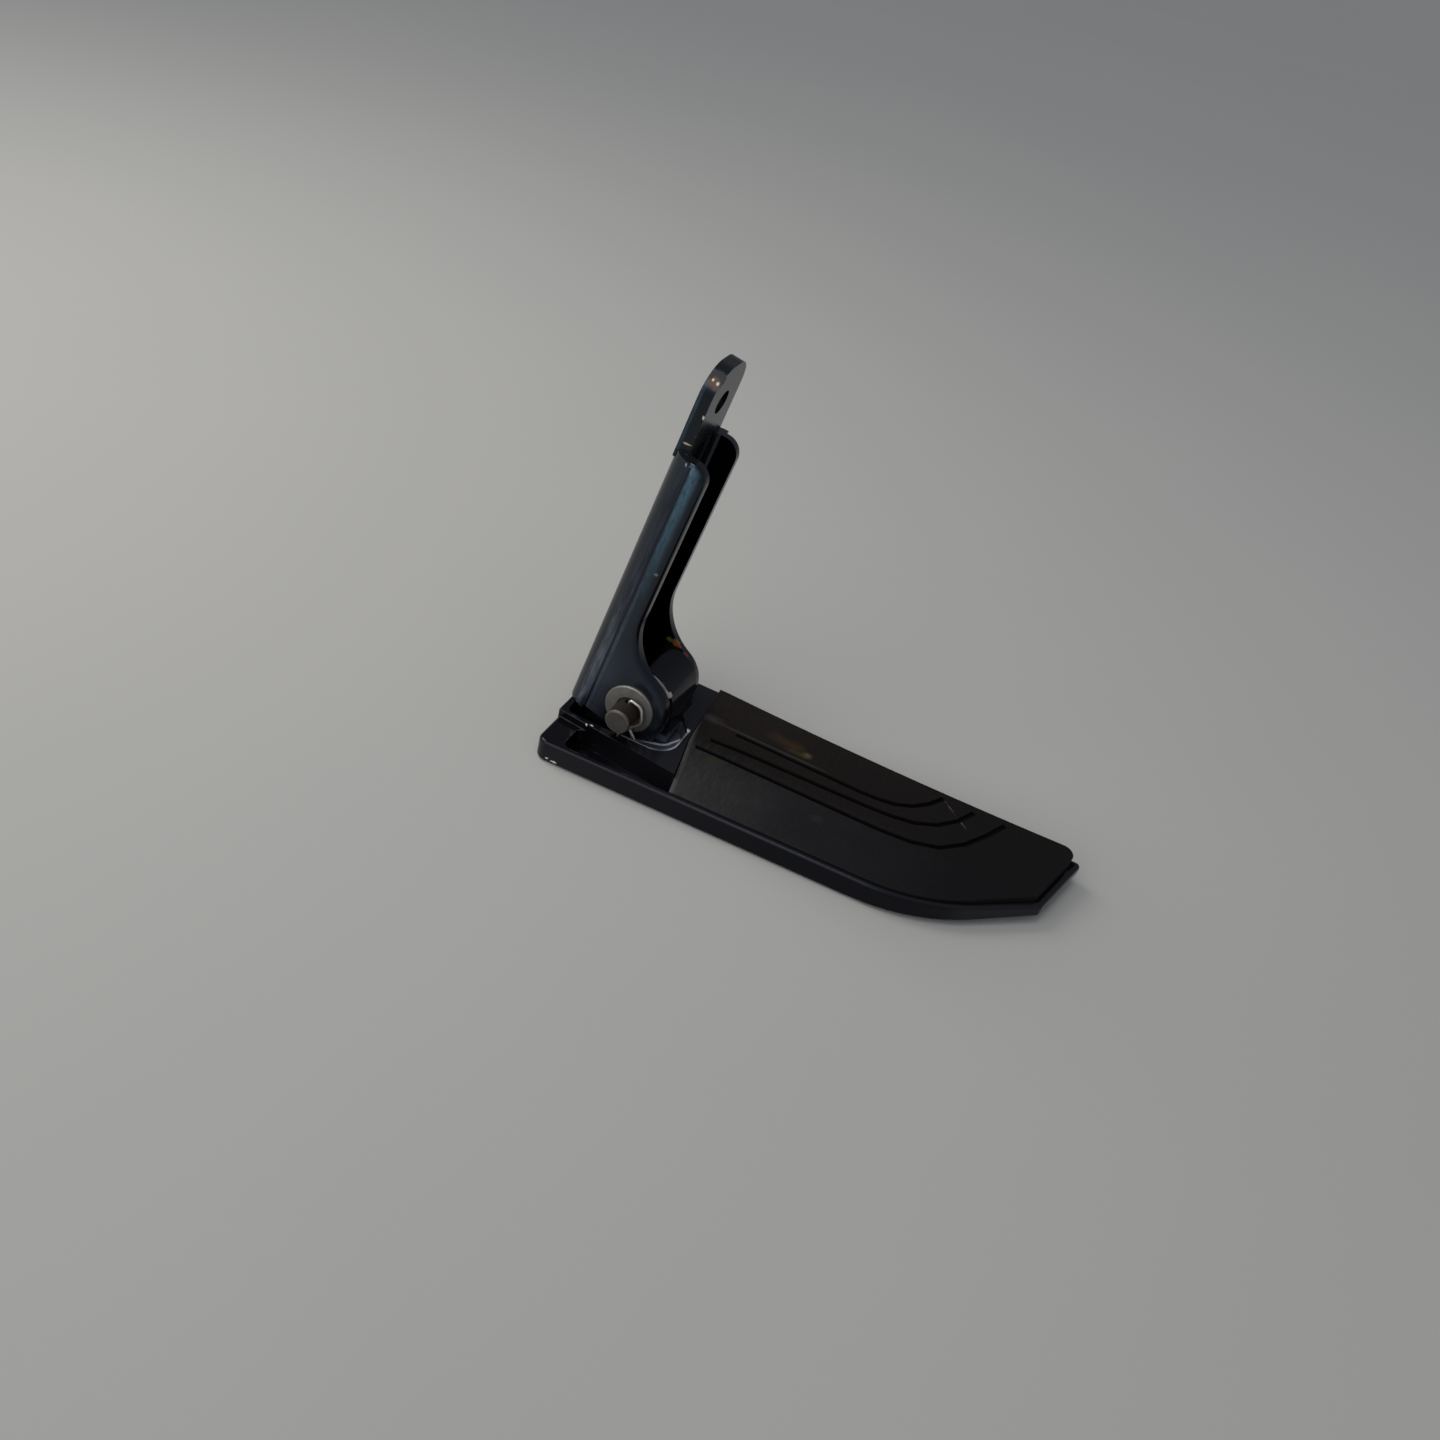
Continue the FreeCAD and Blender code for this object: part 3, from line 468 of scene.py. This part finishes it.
# Stains on the pad: middle, radii, colour and strength
STAIN_SPREAD = 1.25
PAD_STAINS = [
    ((41.2, 11.6, -6.2), (3.4, 2.7, 2.0), (0.030, 0.016, 0.013, 1), 0.8),
    ((46.6, 11.4, -6.2), (4.9, 2.4, 2.0), (0.036, 0.021, 0.007, 1), 0.9),
    ((49.0, 9.0, -6.2), (5.0, 1.0, 2.0), (0.046, 0.031, 0.009, 1), 0.8),
    ((52.6, 9.8, -6.2), (1.5, 1.4, 2.0), (0.085, 0.070, 0.036, 1), 0.9),
    ((29.1, -10.1, -7.6), (2.6, 2.2, 2.0), (0.034, 0.032, 0.014, 1), 0.7),
    ((20.4, 7.3, -6.4), (4.0, 1.9, 2.0), (0.046, 0.044, 0.046, 1), 0.8),
    ((65.1, -14.2, -7.9), (2.2, 1.6, 2.0), (0.045, 0.047, 0.052, 1), 0.3),
]


def pad_rubber():
    """Dusty moulded rubber, browned above the grooves and scuffed grey towards the hinge, and paler there
    partly as painted light, with painted highlights on a groove's lip and its hinge end and painted shade in
    its grooves.
    """
    rubber = Finish("pad_rubber", RUBBER_BLACK, roughness=0.75, specular=0.16)
    out = rubber.along((1, 0, 0))
    across = rubber.along((0, 1, 0))
    cloud = rubber.patches(scale=60, low=0.25, high=0.6, start=0.6, detail=5, rough=0.65)
    # Partly painted light: paler grey towards the hinge, both worn in and for the light falling off along the
    # pad
    rubber.tint(rubber.both(rubber.ramp(out, *GREY_AND_LIGHT_OUT), cloud), RUBBER_GREY_AND_LIGHT)
    scuffed = rubber.both(rubber.ramp(out, *SCUFF_OUT), rubber.ramp(across, *SCUFF_ACROSS), cloud)
    rubber.tint(scuffed, SCUFF_GREY, strength=0.8)
    far = rubber.ramp(across, *FAR_ACROSS)
    rubber.tint(far, FAR_BLACK)
    rubber.tint(rubber.both(far, rubber.ramp(out, *FAR_OUT), cloud), FAR_BROWN)
    # Painted highlight along the pad's rounded end by the hinge
    end = rubber.band(rubber.along(END_WAY, END_PLACE), *END_BAND, soft=0.6)
    rubber.tint(rubber.both(end, rubber.ramp(out, *END_OUT)), END_HIGHLIGHT_GREY, strength=0.8)

    # Dust, laid thicker towards the hinge, where it also paints in the light falling off along the pad
    dust = rubber.patches(scale=1100, low=0.52, high=0.8, end=0.5, detail=6, rough=0.8)
    rubber.tint(rubber.both(dust, rubber.ramp(out, *DUST_AND_LIGHT_OUT, start=0.25)), PAD_DUST)
    strokes = rubber.patches(scale=110, low=0.45, high=0.72, end=0.8, detail=4, rough=0.7, grain=STROKE_GRAIN)
    near_hinge = rubber.both(rubber.ramp(out, *STROKE_OUT), rubber.ramp(across, *STROKE_ACROSS))
    rubber.tint(rubber.both(strokes, near_hinge), STROKE_GREY)
    # Painted light: a pale brown line along the lit far wall of the upper groove
    lip = rubber.both(rubber.band(out, *GROOVE_LIP_OUT, soft=5.0),
                      rubber.band(across, *GROOVE_LIP_ACROSS, soft=0.25), cloud)
    rubber.tint(lip, GROOVE_LIP_LIT_BROWN, strength=0.85)
    for place, radii, colour, strength in PAD_STAINS:
        wide = [r * STAIN_SPREAD for r in radii]
        rubber.tint(rubber.spot(from_pin(*place), wide, scale=420, full=0.1), colour, strength)

    start, stop = (Vector(point) for point in SCRATCH_ENDS)
    run = (stop - start).normalized()
    side = Vector((-run.y, run.x))
    beside = rubber.band(rubber.along((*side, 0), side.dot(start)), *SCRATCH_BAND, soft=0.25)
    within = rubber.band(rubber.along((*run, 0), run.dot(start)), 0, (stop - start).length, soft=1.0)
    broken = rubber.patches(scale=350, low=0.4, high=0.55, detail=4)
    rubber.tint(rubber.both(beside, within, broken), SCRATCH_TAN)
    # Painted shade: the grooves are painted blacker, where shade falls and no dust lies
    below = rubber.along((0, -PAD_SLOPE, 1), PAD_TOP)
    rubber.tint(rubber.ramp(below, *GROOVE_SUNK), GROOVE_SHADE_BLACK)
    rubber.relief(rubber.noise(scale=1500, detail=6, rough=0.75), depth=0.08, strength=0.3)
    rubber.relief(rubber.noise(scale=160, detail=4, rough=0.6), depth=0.15, strength=0.15)
    return rubber.done()


# Plated steel: its rust, each fitting's own colours, and the painted shade and highlight on the pin and
# washer
BLOTCH_SHADE = 0.6
RUST_BROWN, RUST_LEVELS = (0.045, 0.026, 0.013, 1), (0.72, 0.84)
PIN_ZINC, SHANK_RUST_AND_SHADE, PIN_RIM_HIGHLIGHT = (0.115, 0.105, 0.092, 1), (0.025, 0.016, 0.010, 1), (0.35, 0.33, 0.28, 1)
SHANK_END, PIN_RIM = (21.4, 21.9), (21, 22)
WASHER_ZINC, WASHER_SHADE = (0.29, 0.275, 0.245, 1), (0.100, 0.090, 0.084, 1)
WASHER_SHADE_WAY, WASHER_SHADE_FADE = (0.9, 0, -0.43), (0.5, 7)
SPRING_BROWN, EAR_PALE, FLAKE_PINK = (0.10, 0.075, 0.06, 1), (0.42, 0.40, 0.37, 1), (0.62, 0.54, 0.52, 1)
EAR_WAY, EAR_LIP = (0.53, 0, 0.85), (11.0, 11.6)
FLAKE_PLACE, FLAKE_RADII = (10.0, -8.4, 7.2), (3.2, 2.2, 2.9)
WIRE_BRIGHT = (0.62, 0.58, 0.50, 1)


def plated(name, colour, roughness, rust, metallic=0.7):
    """Dull plated steel, blotched, with brown rust over the share given."""
    plate = Finish(name, colour, roughness, metallic)
    shade = [c * BLOTCH_SHADE for c in colour[:3]] + [1]
    plate.tint(plate.patches(scale=420, low=0.35, high=0.7, detail=5, rough=0.65), shade, strength=0.6)
    low, high = (level - rust for level in RUST_LEVELS)
    browned = plate.patches(scale=300, low=low, high=high, detail=4, rough=0.6)
    plate.tint(browned, RUST_BROWN)
    plate.dull(browned, roughness=0.8)
    plate.relief(plate.noise(scale=1400, detail=4), depth=0.05, strength=0.3)
    return plate


def pin_zinc():
    """The pin's plate is worn off its shank, which is painted dark brown both for rust and for the shade on
    it, with a painted highlight round its end.
    """
    plate = plated("pin_zinc", PIN_ZINC, roughness=0.55, rust=0.05)
    reach = plate.along((0, -1, 0))
    # Rust and painted shade on the shank
    plate.tint(plate.ramp(reach, *SHANK_END, start=1, end=0), SHANK_RUST_AND_SHADE, strength=0.9)
    # Painted highlight round the pin's end
    plate.tint(plate.both(plate.edges(radius=0.3), plate.ramp(reach, *PIN_RIM)), PIN_RIM_HIGHLIGHT)
    return plate.done()


def washer_zinc():
    """The washer's plate, bright at its upper left and darkened by painted shade towards its lower right."""
    plate = plated("washer_zinc", WASHER_ZINC, roughness=0.5, rust=0.06)
    # Painted shade towards the washer's lower right
    plate.tint(plate.ramp(plate.along(WASHER_SHADE_WAY), *WASHER_SHADE_FADE, end=0.6), WASHER_SHADE)
    return plate.done()


def spring_steel():
    """Bare spring steel: rusty, with a pale flake on the ear."""
    plate = plated("spring_steel", SPRING_BROWN, roughness=0.5, rust=0.2)
    plate.tint(plate.ramp(plate.along(EAR_WAY), *EAR_LIP), EAR_PALE, strength=0.7)
    plate.tint(plate.spot(from_pin(*FLAKE_PLACE), FLAKE_RADII, ragged=0.3), FLAKE_PINK)
    return plate.done()


def cotter_steel():
    """Bright bent wire, hardly rusted."""
    return plated("cotter_steel", WIRE_BRIGHT, roughness=0.3, rust=0.0, metallic=0.8).done()


# Shaped pieces
def placed(name, data):
    """A new object in the scene."""
    thing = bpy.data.objects.new(name, data)
    bpy.context.scene.collection.objects.link(thing)
    return thing


def on_tongue(a, b):
    """The tongue's edges at its back, which the press left rounded."""
    turn = Matrix.Rotation(-ARM_LEAN, 3, "Y")
    ends = [turn @ (p - PIN) / MM for p in (a, b)]
    at_back = all(p.x < TONGUE_BACK + BACK_SLACK for p in ends)
    return at_back and all(abs(p.y) > BOLT_HOLE_CLEAR and p.z > TONGUE_ROOT for p in ends)


def on_pad_rim(a, b):
    """Edges round the pad's top, apart from its grooves."""
    mid = ((a + b) / 2 - PIN) / MM
    inner_out = PAD_RIM_OUT[0] <= mid.x <= PAD_RIM_OUT[1]
    inner_across = PAD_RIM_ACROSS[0] <= mid.y <= PAD_RIM_ACROSS[1]
    top = PAD_TOP + PAD_SLOPE * mid.y
    return not (inner_out and inner_across) and mid.z > top - PAD_RIM_DROP


def round_edges(shape, radius, steps, test=None):
    """Rounds the sharp edges of a bmesh, or only those whose two ends pass a test."""
    sharp = [e for e in shape.edges if len(e.link_faces) == 2 and e.calc_face_angle() > SHARP_ANGLE]
    if test:
        sharp = [e for e in sharp if test(*(v.co for v in e.verts))]
    bmesh.ops.bevel(shape, geom=sharp, offset=radius * MM, offset_type="OFFSET", segments=steps, profile=0.5,
                    affect="EDGES", clamp_overlap=True, material=-1)


def softened(node, edge, rolls=()):
    """A copy of a solid with its sharp edges rounded, riding where the solid rides.
    Each roll is a wider rounding: a test of an edge's two ends, and a radius."""
    source = frame["nodes"][node]
    shape = bmesh.new()
    shape.from_mesh(source.data)
    bmesh.ops.remove_doubles(shape, verts=shape.verts[:], dist=MERGE_GAP * MM)
    bmesh.ops.dissolve_limit(shape, angle_limit=FLAT_ANGLE, verts=shape.verts[:], edges=shape.edges[:])
    for test, radius in rolls:
        round_edges(shape, radius, ROLL_STEPS, test)
    round_edges(shape, edge, EDGE_STEPS)
    mesh = bpy.data.meshes.new(node + "_shown")
    shape.to_mesh(mesh)
    shape.free()
    mesh.shade_smooth()
    mesh.set_sharp_from_angle(angle=SMOOTH_ANGLE)
    piece = placed(node + "_shown", mesh)
    piece.modifiers.new("flat_faces", "WEIGHTED_NORMAL").keep_sharp = True
    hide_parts(node)
    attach(piece, source["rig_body"])
    return piece


def wire_ring(shape, radius, turn):
    """Adds the round section of a wire to a bmesh."""
    verts = bmesh.ops.create_circle(shape, segments=WIRE_SIDES, radius=radius * MM, matrix=turn)["verts"]
    edges = list({edge for vert in verts for edge in vert.link_edges})
    return verts, edges


def bent_wire(shape, points, bends, radius):
    """Adds a round wire to a bmesh, straight between its corners and bent to a radius at each."""
    points = [from_pin(*point) for point in points]
    place, heading = points[0], (points[1] - points[0]).normalized()
    turn = Matrix.Translation(place) @ heading.to_track_quat("Z", "Y").to_matrix().to_4x4()
    edges = wire_ring(shape, radius, turn)[1]

    def run(edges, way):
        made = bmesh.ops.extrude_edge_only(shape, edges=edges)["geom"]
        bmesh.ops.translate(shape, verts=[g for g in made if isinstance(g, bmesh.types.BMVert)], vec=way)
        return [g for g in made if isinstance(g, bmesh.types.BMEdge)]

    for corner, after, bend in zip(points[1:], points[2:], bends):
        ahead = (after - corner).normalized()
        angle = heading.angle(ahead)
        trim = bend * MM * math.tan(angle / 2)
        enter = corner - heading * trim
        edges = run(edges, enter - place)
        axis = heading.cross(ahead).normalized()
        centre = enter + axis.cross(heading) * bend * MM
        made = bmesh.ops.spin(shape, geom=edges, cent=centre, axis=axis, angle=angle, steps=BEND_STEPS)
        edges = [g for g in made["geom_last"] if isinstance(g, bmesh.types.BMEdge)]
        place, heading = corner + ahead * trim, ahead
    run(edges, points[-1] - place)


def finished_wire(shape, name, body):
    """A finished bmesh of wires as a smooth piece that rides on a body."""
    bmesh.ops.holes_fill(shape, edges=shape.edges[:])
    bmesh.ops.recalc_face_normals(shape, faces=shape.faces[:])
    mesh = bpy.data.meshes.new(name)
    shape.to_mesh(mesh)
    shape.free()
    mesh.shade_smooth()
    mesh.set_sharp_from_angle(angle=WIRE_SMOOTH_ANGLE)
    piece = placed(name, mesh)
    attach(piece, body)
    return piece


def split_pin():
    """One smooth wire: the eye below the hinge pin, and the leg bent round the pin's side."""
    shape = bmesh.new()
    bent_wire(shape, SPLIT_PIN_LEG, SPLIT_PIN_BENDS, SPLIT_PIN_R)
    middle = from_pin(*SPLIT_PIN_EYE)
    top = middle + Vector((0, 0, SPLIT_PIN_EYE_R * MM))
    turn = Matrix.Translation(top) @ Matrix.Rotation(math.pi / 2, 4, "X")
    verts, edges = wire_ring(shape, SPLIT_PIN_R, turn)
    bmesh.ops.spin(shape, geom=verts + edges, cent=middle, axis=(1, 0, 0), angle=math.tau,
                   steps=4 * BEND_STEPS, use_merge=True)
    piece = finished_wire(shape, "split_pin_shown", frame["nodes"]["split_pin"]["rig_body"])
    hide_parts("split_pin")
    return piece


def pocket_beads():
    """Beads of paint on the lip of the hinge pocket and round its floor, which carry its painted gleams."""
    shape = bmesh.new()
    bent_wire(shape, LIP_BEAD, LIP_BEAD_BENDS, BEAD_R)
    bent_wire(shape, POCKET_BEAD, POCKET_BEAD_BENDS, BEAD_R)
    return finished_wire(shape, "pocket_beads", frame["nodes"]["footrest_casting"]["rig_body"])


def dress(piece, material):
    """Gives a piece its finish as its only material."""
    piece.data.materials.clear()
    piece.data.materials.append(material)


# Studio
def floor():
    """A plain pale sheet just under the part."""
    bpy.ops.mesh.primitive_plane_add(size=FLOOR_SIZE, location=(0, 0, CAD_BOX[0][2] - FLOOR_GAP))
    sheet = bpy.context.object
    sheet.name = "floor"
    cover = Finish("floor_sheet", FLOOR_PALE, roughness=0.7, specular=0.15)
    cover.tint(cover.patches(scale=3.0, low=0.3, high=0.7, end=0.25), FLOOR_SHADE)
    sheet.data.materials.append(cover.done())


def room():
    """Light from all round, which goes from one colour at the front to another at the back."""
    world = bpy.data.worlds.new("room")
    world.use_nodes = True
    bpy.context.scene.world = world
    nodes, links = world.node_tree.nodes, world.node_tree.links
    parts = nodes.new("ShaderNodeSeparateXYZ")
    links.new(nodes.new("ShaderNodeTexCoord").outputs["Generated"], parts.inputs[0])
    depth = nodes.new("ShaderNodeMapRange")
    depth.inputs["From Min"].default_value = -ROOM_BLEND
    depth.inputs["From Max"].default_value = ROOM_BLEND
    links.new(parts.outputs["Y"], depth.inputs["Value"])
    first, result = MIX_SOCKETS["RGBA"]
    mix = nodes.new("ShaderNodeMix")
    mix.data_type = "RGBA"
    mix.inputs[first].default_value = ROOM_FRONT
    mix.inputs[first + 1].default_value = ROOM_BACK
    links.new(depth.outputs[0], mix.inputs[0])
    links.new(mix.outputs[result], nodes["Background"].inputs["Color"])


def aimed(way):
    """The turn that points a light along a direction."""
    return Vector(way).to_track_quat("-Z", "Y").to_euler()


def daylight():
    """A broad soft sun, as from a window."""
    data = bpy.data.lights.new("daylight", "SUN")
    data.energy = DAYLIGHT_POWER
    data.angle = DAYLIGHT_ANGLE
    data.color = DAYLIGHT_COLOUR
    placed("daylight", data).rotation_euler = aimed(DAYLIGHT_WAY)


def lamp(name, place, target, size, power, colour):
    """A round soft lamp that looks at a target."""
    data = bpy.data.lights.new(name, "AREA")
    data.shape = "DISK"
    data.size = size
    data.energy = power
    data.color = colour
    light = placed(name, data)
    light.location = place
    light.rotation_euler = aimed(Vector(target) - Vector(place))


def camera():
    """The eye, set by its right and up directions."""
    data = bpy.data.cameras.new("camera")
    data.lens = CAMERA_LENS
    data.sensor_width = CAMERA_SENSOR
    eye = placed("camera", data)
    right, up = Vector(CAMERA_RIGHT), Vector(CAMERA_UP)
    turn = Matrix((right, up, right.cross(up))).transposed().to_4x4()
    eye.matrix_world = Matrix.Translation(CAMERA_PLACE) @ turn
    bpy.context.scene.camera = eye


dress(softened("bracket", edge=0.3, rolls=[(on_tongue, TONGUE_ROLL)]), bracket_paint())
dress(softened("footrest_casting", edge=0.35), casting_paint())
dress(softened("rubber_pad", edge=0.4, rolls=[(on_pad_rim, PAD_ROLL)]), pad_rubber())
dress(softened("hinge_pin", edge=0.12), pin_zinc())
dress(softened("plain_washer", edge=0.12), washer_zinc())
dress(softened("spring_washer", edge=0.15), spring_steel())
dress(split_pin(), cotter_steel())
dress(pocket_beads(), bead_paint())

floor()
room()
daylight()
for facts in LAMPS:
    lamp(*facts)
camera()
bpy.context.scene.view_settings.view_transform = "Standard"
